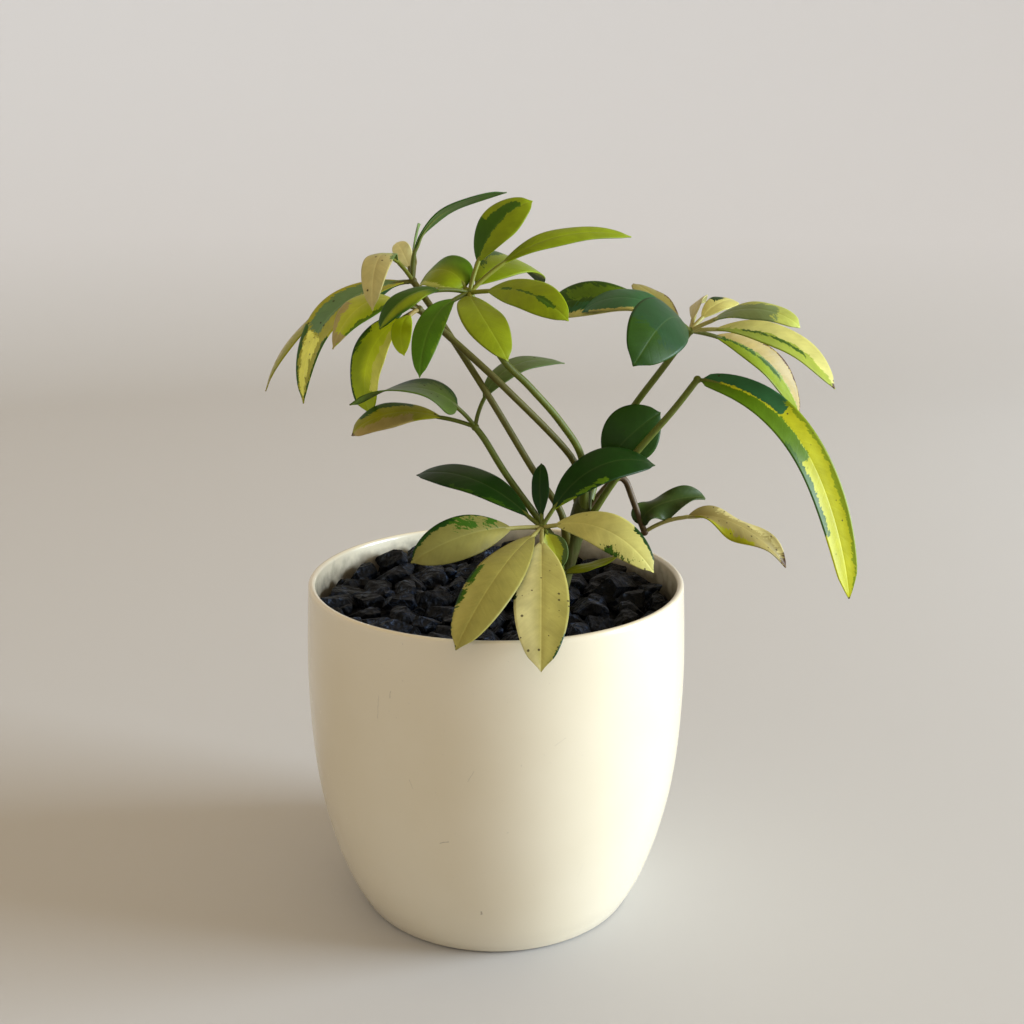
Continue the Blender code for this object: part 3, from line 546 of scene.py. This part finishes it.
leaves = {
    "leaf_front_low": {
        "slot": "cream_leaf", "stalkTone": "stalkGreen",
        "stalk": [(26, 8, 134), (24, 1, 140), (20, -8, 150), (17.5, -15, 158)],
        "leaflets": [
            # The three front leaflets hang down towards the front: their darker cream grounds are partly
            # their own tone and partly painted shade
            leaflet((-1.5, -71, -30), "creamDim",
                    [("deep", 0.92, 1.3, 0.38, 0.6, 0.5), ("deep", -1.3, -0.93, 0.8, 0.95, 0.5)],
                    arch=6, width=20, stalk=12, widest=0.6, freckles=0.4, stalkTone="stalkPale",
                    # These washes paint light: one half paler as a painted highlight, the other half darker
                    # as painted shade
                    washes=[("creamPale", -0.1, 0.5, -0.1, 0.2), ("creamShade", -0.2, -1.0, 0.3, 0.7)]),
            leaflet((-30, -67, -24), "creamShade",
                    [("green", 0.78, 0.96, 0.48, 0.8, 0.8), ("deep", 0.94, 1.3, 0.5, 1.1, 0.5)],
                    arch=6, bow=-2, width=18.5, roll=10, stalk=9, widest=0.6, stalkTone="stalkPale",
                    washes=[("creamDim", 0.0, 0.8, 0.5, 0.8)]),
            leaflet((-48, -27, -6), "creamDusk",
                    [("deep", 0.72, 1.3, 0.5, 1.0, 0.6), ("deep", 0.93, 1.3, 0.2, 0.6, 0.5),
                     ("green", 0.35, 0.8, 0.16, 0.54, 2.2)],
                    arch=4, width=17.5, roll=50, stalk=13, stalkTone="stalkPale",
                    washes=[("creamShade", 0.3, -0.6, 0.6, 0.2)]),
            leaflet((-50, 29, 13.5), "deep", [("green", -1.2, -0.85, 0.1, 0.6, 1.5)],
                    arch=5.5, width=17, roll=20, stalk=6),
            leaflet((0, 14, 22), "deep", arch=1, width=8, roll=30, stalk=4),
            leaflet((45, 20, 20), "deep",
                    [("lime", 0.76, 1.3, -0.1, 0.2, 0.5), ("fresh", 0.72, 0.94, 0.1, 0.5, 0.6)],
                    arch=9.5, width=17.5, roll=-32, stalk=7),
            leaflet((41, -20, -11.5), "cream",
                    [("deep", -1.3, -0.78, 0.66, 0.98, 0.5), ("green", 0.62, 1.1, 0.55, 0.84, 1.6)],
                    arch=7.5, width=16, roll=-42, stalk=5, freckles=0.15, stalkTone="stalkPale"),
            leaflet((6, -9, -14), "goldPale",
                    [("paleLime", 0.5, 1.3, -0.1, 1.1, 0.6), ("greyGreen", -1.3, -0.6, -0.1, 1.1, 0.6)],
                    arch=3, width=10, roll=-20, stalk=3, dish=1.2),
        ],
    },
    "leaf_top": {
        "slot": "lime_leaf", "stalkTone": "stalkGreen",
        "stalk": [
            (35, 8.5, 160), (33.5, 4.5, 181), (24.5, 0, 196.5),
            (12.5, -6, 211), (1.5, -12, 223.5), (-9.5, -20, 247),
        ],
        "leaflets": [
            leaflet((22.5, 10, 32), "lime",
                    [("middle", -1.3, 0.03, -0.1, 0.46, 0.4), ("middle", -0.6, 0.03, 0.3, 0.86, 0.6)],
                    arch=4.5, bow=-1.5, width=15.5, roll=-40, stalk=11, stalkTone="stalkLime"),
            leaflet((60, 25, 19), "lime",
                    arch=8, peak=0.42, width=10, roll=-30, stalk=17, stalkTone="stalkLime"),
            leaflet((34.5, -28, -7), "lime",
                    [("middle", -0.07, 0.07, 0.2, 0.66, 0.5), ("middle", -0.16, 0.16, 0.62, 0.84, 0.6)],
                    arch=4, width=15, roll=-36, stalk=8, stalkTone="stalkLime"),
            leaflet((14, -38, -19.5), "limeDim",
                    arch=3, bow=4, width=16.5, stalk=4, widest=0.56, stalkTone="stalkLime"),
            leaflet((-16, -32, -26), "vivid", [("fresh", -1.3, -0.8, 0.1, 0.9, 1.0)],
                    arch=6, bow=2.5, width=10, roll=30, stalk=8),
            leaflet((-30.5, -20, -11), "green", arch=6, width=10.5, roll=20, stalk=12,
                    washes=[("lime", 0.1, -0.3, 0.1, 0.4), ("green", -0.6, -0.95, 0.3, 0.7)]),
            leaflet((-19, 13, 0.5), "fresh",
                    [("paleLime", -1.3, -0.78, 0.0, 0.9, 0.8)],
                    arch=5, width=19, roll=33, stalk=2.5, widest=0.38, slender=1.2, stalkTone="stalkLime",
                    washes=[("vivid", 0.4, 0.9, -0.1, 0.4), ("lime", 0.5, -0.1, 1.0, 0.6)]),
            leaflet((27, 46, -1), "lime",
                    [("green", -1.2, -0.6, 0.2, 1.0, 1.5), ("deep", -1.2, 1.2, 0.84, 1.2, 2.0)],
                    arch=7.5, width=21, roll=-20, stalk=5, widest=0.48, stalkTone="stalkLime"),
        ],
    },
    "leaf_upper_left": {
        "slot": "cream_leaf", "stalkTone": "stalkOlive",
        "stalk": [
            (29, 9, 142), (25.5, 5, 159), (14, 6, 176.5),
            (-2.5, 4, 204.5), (-21, 10, 232.5), (-32.5, 12, 249),
        ],
        "leaflets": [
            leaflet((36, 13, 33), "slate",
                    [("forest", -1.3, -0.6, 0.0, 1.1), ("forest", 0.75, 1.3, 0.0, 1.1),
                     ("green", -1.3, 1.3, 0.8, 1.2, 2.0)],
                    arch=10.5, peak=0.3, sag=0.3, width=8, roll=30, stalk=12, stalkTone="stalkGreen"),
            leaflet((-0.5, 48, 20), "greyGreen", arch=2, width=7, roll=80, stalk=9),
            leaflet((-15, 10, -8), "blueGreen", arch=1, width=13, stalk=3, widest=0.45),
            leaflet((-11, -42, -7.5), "beigePale",
                    [("greyGreen", -1.3, -0.8, 0.0, 0.5, 0.6)],
                    arch=13, peak=0.4, bow=3.5, width=11, stalk=12, stalkTone="stalkLime", freckles=0.3,
                    washes=[("sage", -2, -1.5, 0.5, 0.2)]),
            # Its pale yellow patch is brightened as painted backlight
            leaflet((-42, -12, -46), "gold",
                    [("tealPale", -0.2, 0.8, -0.1, 0.6, 1.2), ("yellowPaintedBacklight", -0.4, 0.6, 0.62, 0.96, 1.2),
                     ("middle", -1.3, -0.84, 0.6, 1.1, 0.9), ("middle", 0.74, 1.3, 0.6, 1.2, 0.9)],
                    arch=13, width=20, roll=22, stalk=3, widest=0.5, dish=0.4, freckles=0.2),
            leaflet((-60.5, 8, -44.5), "beigePale",
                    [("olive", -1.3, 0.1, 0.1, 1.1, 2.0), ("brown", 0.6, 1.3, 0.25, 0.6, 2.0)],
                    arch=9.5, width=13, roll=20, stalk=10, freckles=0.5),
            leaflet((-7.5, 14, 13.5), "creamPale", arch=2, width=7.5, roll=35, stalk=5),
        ],
    },
    "leaf_mid_left": {
        "slot": "lime_leaf", "stalkTone": "stalkOlive",
        "stalk": [
            (33.5, 10.5, 158), (31.5, 12.5, 168), (29.5, 13, 180),
            (3, 4, 209), (-20.5, 4, 230.5), (-29.5, 2, 239),
        ],
        "leaflets": [
            leaflet((-30, -22, -12.5), "goldPale",
                    [("fresh", -1.3, -0.82, 0.1, 1.0, 0.8), ("straw", 0.6, 1.3, 0.5, 1.1, 1.2),
                     ("straw", -1.3, 1.3, 0.85, 1.1, 0.8)],
                    arch=8, width=17, roll=16, stalk=8, widest=0.42,
                    washes=[("limeBright", -0.1, -0.7, 0.1, 0.3)]),
            # Its glowing lime ground and pale yellow patch are brightened as painted backlight
            leaflet((-21, 12, -42), "limePaintedBacklight",
                    [("fresh", 0.76, 1.3, 0.0, 0.5, 1.2), ("yellowPaintedBacklight", -1.3, -0.45, 0.0, 0.8, 0.8),
                     ("green", 0.9, 1.3, 0.1, 0.95, 0.6)],
                    arch=9.5, width=19, roll=75, stalk=9, widest=0.6, slender=1.1, dish=0.3,
                    washes=[("limeBright", -0.2, 0.5, 0.2, 0.5), ("limeBright", -2, -1.5, 0.6, 0.85)]),
            leaflet((-4.5, -16, -15.5), "limeBright", arch=4, bow=2, width=8.5, stalk=6, stalkTone="tan"),
            leaflet((-14, 32, -10), "blueGreen", arch=6, width=13, roll=10, stalk=9),
        ],
    },
    "leaf_lower_left": {
        "slot": "green_leaf", "stalkTone": "stalkGreen",
        "stalk": [
            (27.5, 9, 136), (25.5, 8, 143.5), (17.5, 7, 154.5),
            (4, 6, 173.5), (-4.5, 6, 187.5), (-8.5, 6, 193),
        ],
        "leaflets": [
            leaflet((-45.5, -26, 13), "moss", [("forest", 0.6, 1.3, 0.0, 1.0, 2.0)],
                    arch=9.5, peak=0.42, width=21, roll=75, twist=-115, fold=4, stalk=12, widest=0.4,
                    slender=1.2, freckles=0.2),
            leaflet((-48, -4, -3), "olive",
                    [("green", 0.55, 1.3, 0.3, 0.85, 1.2), ("tan", -1.3, -0.3, 0.3, 1.1),
                     ("brown", -1.3, 1.3, 0.97, 1.2, 0.6)],
                    arch=6, width=17, roll=25, stalk=13, widest=0.62, freckles=0.15),
            leaflet((36, 30, 21), "greyGreen", arch=11, peak=0.3, width=13, roll=-12, stalk=13, freckles=0.1),
        ],
    },
    "leaf_upper_right": {
        "slot": "cream_leaf", "stalkTone": "stalkGreen",
        "stalk": [
            (37, 12, 162.5), (40, 16, 169), (46.5, 22, 184.5),
            (56, 25, 199), (66, 20, 214.5), (75.5, 14, 230),
        ],
        "leaflets": [
            leaflet((-27, -50, -7), "teal", [("forest", -1.3, 1.3, 0.72, 1.2, 3.0)],
                    arch=8.5, width=24, roll=46, stalk=6, widest=0.6),
            leaflet((-42, 10, 6), "blueGreen", [("creamDim", -1.3, -0.85, 0.1, 0.9, 0.6)],
                    arch=6, width=19, roll=22, stalk=8),
            leaflet((-55, 25, 5), "green",
                    [("fresh", 0.0, 0.75, 0.25, 0.8, 1.6), ("blueGreen", -0.75, -0.3, 0.0, 1.0, 1.2),
                     ("cream", -1.3, -0.7, 0.0, 1.0, 0.8)],
                    arch=7, width=18, roll=15, twist=45, stalk=10, widest=0.65),
            leaflet((-19.5, 35, 15.5), "creamShade", [("stalkBrown", 0.9, 1.3, 0.2, 1.0, 1.0)],
                    arch=-0.5, width=13, stalk=8, stalkTone="stalkPale"),
            leaflet((13, 48, 7), "beigePale", arch=4, width=8, roll=40, stalk=8, stalkTone="stalkPale"),
            leaflet((38, -20, 3.5), "paleLime",
                    [("greyPale", -0.66, 1.3, -0.1, 0.74, 1.8)],
                    arch=5.5, width=15, roll=-20, stalk=10, slender=1.3, stalkTone="stalkPale"),
            leaflet((55.5, -10, -21), "limeSoft",
                    [("green", -0.06, 0.22, 0.2, 0.7, 0.9), ("cream", -1.3, -0.08, 0.0, 1.1, 0.8),
                     ("brown", -1.3, 1.3, 0.96, 1.2, 0.6)],
                    arch=8.5, width=19, roll=-24, stalk=9, dish=0.5, stalkTone="stalkPale"),
            leaflet((48.5, 15, -36.5), "lime",
                    [("tan", -1.3, -0.1, 0.0, 1.1, 0.6), ("green", -0.08, 0.2, -0.1, 0.66, 0.7),
                     ("brown", -1.3, -0.93, 0.3, 1.0, 0.6)],
                    arch=8, width=16.5, roll=-52, stalk=10, dish=0.5),
            leaflet((22, 22, 9), "cream", [("deep", -1.3, -0.4, 0.45, 0.72)],
                    arch=3, width=10, roll=-20, stalk=8, stalkTone="stalkPale"),
        ],
    },
    "leaf_long_right": {
        "slot": "lime_leaf", "stalkTone": "stalkGreen",
        "stalk": [
            (34, 8, 150), (38.5, 6.5, 158), (46, 7.5, 170),
            (55.5, 8, 183), (69, 9, 199), (78.5, 10, 211.5),
        ],
        "leaflets": [
            leaflet((57.5, -30, -80), "yellow",
                    [("blueGreen", -1.3, -0.06, -0.1, 0.34, 0.5), ("fresh", 0.04, 1.3, -0.1, 0.54, 0.7),
                     ("middle", 0.64, 1.3, 0.44, 0.8, 0.9), ("lime", -1.3, -0.72, 0.3, 1.1, 0.8)],
                    arch=19, peak=0.37, sag=1, width=15.5, roll=-38, fold=15, stalk=2, widest=0.5,
                    slender=0.7, dish=0.6, freckles=0.1),
        ],
    },
    "leaf_behind": {
        "slot": "green_leaf", "stalkTone": "stalkGreen",
        "stalk": [(36, 10, 164), (38.5, 10.5, 169.5), (41.5, 12, 174.5)],
        "leaflets": [
            leaflet((24, 6, 22.5), "forest",
                    arch=2, width=23, roll=-72, fold=8, stalk=4, widest=0.5, freckles=0.1),
        ],
    },
    "leaf_low_right": {
        "slot": "green_leaf", "stalkTone": "stalkBrown",
        "stalk": [
            (34, 12, 152), (41.5, 17, 162.5), (48.5, 20, 169), (52.5, 21, 168),
            (55.5, 21, 161), (59, 20, 151.5), (61, 20, 146.5),
        ],
        "leaflets": [
            leaflet((26, 10, 12), "slate", arch=6.5, peak=0, width=12.5, roll=-30, stalk=5, widest=0.48,
                    slender=0.85, wave=3.5, point=0.012),
            leaflet((57, -10, -12), "strawDim",
                    [("beige", -1.3, -0.5, 0.3, 0.9, 1.5), ("olive", 0.6, 1.3, 0.1, 0.7, 1.0),
                     ("brown", -1.3, 1.3, 0.93, 1.2, 0.8)],
                    arch=12, peak=0.35, width=14.5, roll=-26, stalk=21, wave=2.5,
                    freckles=0.6, point=0.02, stalkTone="stalkPale"),
        ],
    },
    "leaf_basal": {
        "slot": "lime_leaf", "stalkTone": "stalkGreen",
        "stalk": [(26, 9, 130), (25.5, 4, 132.5), (26.5, 2, 134)],
        "leaflets": [
            leaflet((24, 3, 8), "stalkLime", arch=-3, width=8, roll=-10, fold=35, stalk=1, widest=0.35),
        ],
    },
}

stalks = {
    "radius": 1.5, "taper": 0.2, "flare": 2.3, "flareShare": 0.18, "steps": 8, "sides": 16,
    "hub": 1.6, "hubSides": 24, "hubRings": 16, "ribSides": 12,
}


def levelRight(form):  # the level direction to the right of a leaflet, seen from the hub
    return Vector((form["tip"].x, form["tip"].y, 0)).normalized().cross(Vector((0, 0, 1)))


def midrib(form, t):  # a point on the midrib, in millimetres from the hub
    tip = form["tip"]
    right = levelRight(form)
    up = right.cross(tip.normalized())
    control = tip * form["peak"] + (up * form["arch"] + right * form["bow"]) * 2
    return control * (2 * t * (1 - t)) + tip * t * t + up * form["sag"] * math.sin(2 * math.pi * t)


def bladeFrame(form, t):  # right and up of the blade at a place on its midrib
    along = (midrib(form, min(t + blade["nudge"], 1)) - midrib(form, max(t - blade["nudge"], 0))).normalized()
    right = levelRight(form)
    right = (right - along * right.dot(along)).normalized()
    up = right.cross(along)
    turn = math.radians(form["roll"] + form["twist"] * t)
    across = right * math.cos(turn) + up * math.sin(turn)
    return across, across.cross(along)


def halfWidth(form, s):
    rise = form["widest"] * form["slender"]
    fall = (1 - form["widest"]) * form["slender"]
    top = form["widest"] ** rise * (1 - form["widest"]) ** fall
    share = s ** rise * (1 - s) ** fall / top
    share *= min(1, (1 - s) / form["point"]) ** 0.5  # draws the tip out to a fine point
    least = blade["foot"] * (1 - s) ** 6 + blade["tip"]  # the blade never narrows to nothing
    return max(form["width"] / 2 * share, least)


def midribLength(form):
    steps = blade["ribSteps"]
    spots = [midrib(form, k / steps) for k in range(steps + 1)]
    return sum((b - a).length for a, b in zip(spots, spots[1:]))


def patchDepth(patch, across, s, half, long):  # millimetres inside a patch, or outside as less than 0
    u0, u1, v0, v1 = patch[1:5]
    ragged = patch[5] if len(patch) > 5 else 1.0
    inside = min((across - u0) * half, (u1 - across) * half, (s - v0) * long, (v1 - s) * long)
    return inside / ragged


def ridge(form, half):  # how far the blade's middle stands over its midrib line
    slope = math.sin(math.radians(form["fold"]))
    return half * (slope + blade["bulge"]) * (1 - form["dish"])


def rampShare(value, none, full):  # 0 at none, 1 at full and smooth between
    share = min(1, max(0, (value - none) / (full - none)))
    return share * share * (3 - 2 * share)


def groundTone(form, across, s):
    tone = Vector(tones[form["ground"]])
    for name, u0, u1, v0, v1 in form["washes"]:
        tone = tone.lerp(Vector(tones[name]), rampShare(across, u0, u1) * rampShare(s, v0, v1))
    return tone


def addBlade(form, hub, number):
    bpy.ops.mesh.primitive_grid_add(x_subdivisions=blade["across"], y_subdivisions=blade["along"], size=2)
    leaf = bpy.context.object
    mesh = leaf.data
    total = midribLength(form)
    begin = form["stalk"] / total
    long = total - form["stalk"]
    phase = number * blade["phase"]
    spots, grounds, depths = [], [], {layer: [] for layer in blade["layers"]}
    for vertex in mesh.vertices:
        across, s = vertex.co.x, (vertex.co.y + 1) / 2
        t = begin + (1 - begin) * s
        right, up = bladeFrame(form, t)
        half = halfWidth(form, s)
        out = across * half
        middle = ridge(form, half)
        edge = half * math.sin(math.radians(form["fold"]))
        lift = middle + (edge - middle) * abs(across) ** blade["curve"]
        lift -= blade["groove"] * math.exp(-((out / blade["grooveWide"]) ** 2)) * min(1, half / 4)
        lift += form["wave"] * math.sin(3 * math.pi * s) * across ** 2
        turn = 2 * math.pi * blade["ripples"] * s + phase + (blade["sidePhase"] if across > 0 else 0)
        lift += blade["ripple"] * math.sin(turn) * across ** 2 * math.sin(math.pi * s)
        vein = (s * long - abs(out) * blade["veinSlant"]) / blade["veinEvery"]
        lift += blade["quilt"] * math.cos(2 * math.pi * vein) * min(1, abs(out) / 2) * (1 - abs(across) ** 4)
        spot = midrib(form, t) + right * out * math.cos(math.radians(form["fold"])) + up * lift
        vertex.co = (hub + spot) * mm
        spots.extend((out, s * long, number))
        grounds.extend((*groundTone(form, across, s), form["freckles"]))
        for k, layer in enumerate(blade["layers"]):
            patch = form["patches"][k] if k < len(form["patches"]) else None
            tone = tones[patch[0]] if patch else (0, 0, 0)
            depths[layer].extend((*tone, patchDepth(patch, across, s, half, long) if patch else blade["far"]))
    mesh.attributes.new("spot", "FLOAT_VECTOR", "POINT").data.foreach_set("vector", spots)
    for layer, values in depths.items():
        mesh.attributes.new("patch" + layer, "FLOAT_COLOR", "POINT").data.foreach_set("color", values)
    mesh.attributes.new("ground", "FLOAT_COLOR", "POINT").data.foreach_set("color", grounds)
    for finish in leafFinishes:
        mesh.materials.append(finish)
    wall = leaf.modifiers.new("wall", "SOLIDIFY")
    wall.thickness = blade["thickness"] * mm
    wall.offset = 0
    wall.material_offset = 1
    selectOnly(leaf)
    bpy.ops.object.modifier_apply(modifier="wall")
    bpy.ops.object.shade_smooth()
    return leaf


def ribRun(form, hub):  # the leaflet's own stalk, which runs on under the blade as its midrib
    total = midribLength(form)
    begin = form["stalk"] / total
    points, radii = [], []
    for k in range(blade["ribSteps"] + 1):
        t = blade["ribEnd"] * k / blade["ribSteps"]
        up = bladeFrame(form, t)[1]
        share = max(0, (t - begin) / (1 - begin))
        taper = blade["stalkRadius"] * (1 - share) ** 3
        radius = taper + blade["ribRadius"] * min(1, share * 4) * (1 - share)
        rise = ridge(form, halfWidth(form, share)) if share else 0.0
        points.append((hub + midrib(form, t) + up * (rise - radius * min(1, share * 10))) * mm)
        radii.append(max(radius, blade["ribLeast"]))
    return points, radii


def paint(thing, tone):  # one tone all over, without freckles
    values = [*tones[tone], 0.0] * len(thing.data.vertices)
    thing.data.attributes.new("ground", "FLOAT_COLOR", "POINT").data.foreach_set("color", values)


def addLeaf(node, leaf, number):
    hub = Vector(leaf["stalk"][-1])
    line = smoothLine(leaf["stalk"], stalks["steps"])
    radii = []
    for k in range(len(line)):
        share = k / (len(line) - 1)
        flare = (stalks["flare"] - stalks["radius"]) * max(0, 1 - share / stalks["flareShare"])
        radii.append(stalks["radius"] + flare - stalks["taper"] * share)
    parts = [addTube("stalk", line, radii, stalks["sides"])]
    bpy.ops.mesh.primitive_uv_sphere_add(
        segments=stalks["hubSides"], ring_count=stalks["hubRings"],
        radius=stalks["hub"] * mm, location=hub * mm,
    )
    parts.append(bpy.context.object)
    bpy.ops.object.transform_apply(location=True)
    bpy.ops.object.shade_smooth()
    for part in parts:
        paint(part, leaf["stalkTone"])
    for form in leaf["leaflets"]:
        rib = addTube("rib", *ribRun(form, hub), stalks["ribSides"])
        paint(rib, form["stalkTone"] or leaf["stalkTone"])
        parts.append(rib)
    for part in parts:
        part.data.materials.append(stalkFinish)
    blades = [addBlade(form, hub, number * 10 + k) for k, form in enumerate(leaf["leaflets"])]
    selectOnly(*blades, *parts)
    bpy.ops.object.join()
    made = bpy.context.object
    made.name = node.replace("leaf_", "fronds_")
    return finishPiece(made, node)


# Leaf skin: ground tone, ragged patches, veins and freckles, all from the blade's own attributes
skin = {
    "vein": (0.60, 0.58, 0.20), "veinShare": 0.022, "underShare": 0.3, "gloss": 0.16, "edge": 2.2,
    "freckle": (0.03, 0.015, 0.006), "freckleShare": 0.85, "freckleScale": 0.3,
    "ragged": (5.0, 4.5, 2.0), "rough": 0.43, "roughUnder": 0.6, "apart": 53.0,
}


def leafMaterial(name, under):
    shade = Shade(name, Specular_IOR_Level=skin["gloss"])
    across, along, number = shade.split(shade.attribute("spot", "Vector"))
    away = across.size()
    shift = number * skin["apart"]  # no two leaflets share their noise
    flat = shade.join(across + shift, along)
    cloud = shade.noise(flat, 0.16, 4.0)
    slant = shade.join((along - away * blade["veinSlant"]) * 0.8, away * 0.3 + across * 0.05 + shift)
    jag = shade.noise(slant, 0.9, 3.0)
    grain = shade.noise(flat, 1.7, 2.0)
    broad, sharp, small = skin["ragged"]
    wobble = (cloud - 0.5) * broad + (jag - 0.5) * sharp + (grain - 0.5) * small
    tone = shade.attribute("ground")
    for layer in blade["layers"]:
        depth = shade.attribute("patch" + layer, "Alpha")
        inside = ((depth + wobble) * skin["edge"] + 0.5).clamp()
        tone = shade.mix(inside, tone, shade.attribute("patch" + layer))
    if under:
        tone = shade.mix(skin["underShare"], tone, tones["under"])
    rib = (1.0 - (away - 0.1) * 2.6).clamp()
    vein = shade.sum("SINE", (along - away * blade["veinSlant"]) * (2 * math.pi / blade["veinEvery"]))
    branch = ((vein - 0.8) * 5.0).clamp()
    bright = 0.62 + cloud * 0.56 + jag * 0.22 + rib * 0.1 + branch * 0.02
    tone = shade.node("ShaderNodeHueSaturation", {}, {"Color": tone, "Value": bright})
    tone = shade.mix(rib * skin["veinShare"], tone, skin["vein"])
    cells = {"Vector": flat, "Scale": skin["freckleScale"]}
    dots = shade.node("ShaderNodeTexVoronoi", {"voronoi_dimensions": "2D"}, cells)
    chance = shade.node("ShaderNodeTexVoronoi", {"voronoi_dimensions": "2D"}, cells, "Color")
    luck, spread = shade.split(chance)[:2]
    amount = shade.attribute("ground", "Alpha")
    freckle = ((0.05 + spread * 0.12 - dots) * 30.0).clamp() * ((amount - luck) * 20.0).clamp()
    shade.feed("Base Color", shade.mix(freckle * skin["freckleShare"], tone, skin["freckle"]))
    rough = skin["roughUnder"] if under else skin["rough"]
    shade.feed("Roughness", rough + (cloud - 0.5) * 0.15 + freckle * 0.2)
    shade.bump(rib * -0.5 + branch * -0.12 + grain * 0.25 + cloud * 0.8, 0.18 * mm, 0.5)
    return shade.material


def stalkMaterial():
    shade = Shade("stalkSkin", Roughness=0.5, Specular_IOR_Level=0.3)
    place = shade.place()
    x, y, z = shade.split(place)
    cloud = shade.noise(place, 130.0, 3.0)
    streak = shade.noise(shade.join(x, y, z * 0.15), 1500.0, 2.0)
    tone = shade.mix((cloud * 2.0 - 0.7).clamp() * 0.35, shade.attribute("ground"), tones["stalkBrown"])
    shade.feed("Base Color", shade.mix((streak * 2.0 - 0.9).clamp() * 0.15, tone, tones["stalkPale"]))
    shade.bump(streak + cloud * 0.5, 0.15 * mm, 0.5)
    return shade.material


leafFinishes = [leafMaterial("leafTop", False), leafMaterial("leafUnder", True)]
stalkFinish = stalkMaterial()
for order, (node, leaf) in enumerate(leaves.items()):
    addLeaf(node, leaf, order + 1)
    print("grown", node)


# Studio, in metres: a pale round sweep, a broad window of light from the right and soft warm fill
studio = {
    "radius": 2.6, "wall": 2.0, "round": 1.3, "sides": 96, "steps": 24,
    "floor": (0.52, 0.51, 0.50), "backdrop": (0.59, 0.575, 0.575),
    "sky": (1.0, 0.78, 0.48), "skyPower": 0.72,
    "window": {"spot": (2.94, -0.19, 0.73), "size": 1.4, "power": 202.0, "tint": (0.76, 0.88, 1.0)},
    "aim": (0.01, 0, 0.14),
}


def addSweep():
    shade = Shade("paleSweep", Roughness=0.8)
    rise = (shade.split(shade.place())[2] * 5.0).clamp()
    shade.feed("Base Color", shade.mix(rise, studio["floor"], studio["backdrop"]))
    bpy.ops.mesh.primitive_circle_add(vertices=studio["sides"], radius=studio["radius"], fill_type="NGON")
    sweep = bpy.context.object
    sweep.name = "paleSweep"
    bpy.ops.object.mode_set(mode="EDIT")
    bpy.ops.mesh.select_all(action="SELECT")
    bpy.ops.mesh.extrude_region_move(TRANSFORM_OT_translate={"value": (0, 0, studio["wall"])})
    bpy.ops.mesh.delete(type="ONLY_FACE")
    bpy.ops.object.mode_set(mode="OBJECT")
    corner = sweep.modifiers.new("corner", "BEVEL")
    corner.width = studio["round"]
    corner.segments = studio["steps"]
    corner.limit_method = "ANGLE"
    bpy.ops.object.modifier_apply(modifier="corner")
    bpy.ops.object.shade_smooth()
    sweep.data.materials.append(shade.material)
    return sweep


def addLamp(lamp, sweep):
    bpy.ops.object.light_add(type="AREA", location=lamp["spot"])
    light = bpy.context.object
    light.data.size = lamp["size"]
    light.data.energy = lamp["power"]
    light.data.color = lamp["tint"]
    light.visible_camera = False
    away = Vector(lamp["spot"]) - Vector(studio["aim"])
    light.rotation_euler = away.to_track_quat("Z", "Y").to_euler()
    # The lamp stands outside the sweep and shines through it
    clear = bpy.data.collections.new("clearForLamp")
    clear.objects.link(sweep)
    light.light_linking.blocker_collection = clear
    clear.collection_objects[0].light_linking.link_state = "EXCLUDE"


def addSky():
    world = bpy.data.worlds.new("paleSky")
    world.use_nodes = True
    back = world.node_tree.nodes["Background"]
    back.inputs["Color"].default_value = (*studio["sky"], 1)
    back.inputs["Strength"].default_value = studio["skyPower"]
    bpy.context.scene.world = world


addLamp(studio["window"], addSweep())
addSky()
bpy.ops.object.select_all(action="DESELECT")
print("studio lit")

bpy.context.scene.view_settings.view_transform = "Standard"  # keeps the leaves' strong greens and limes
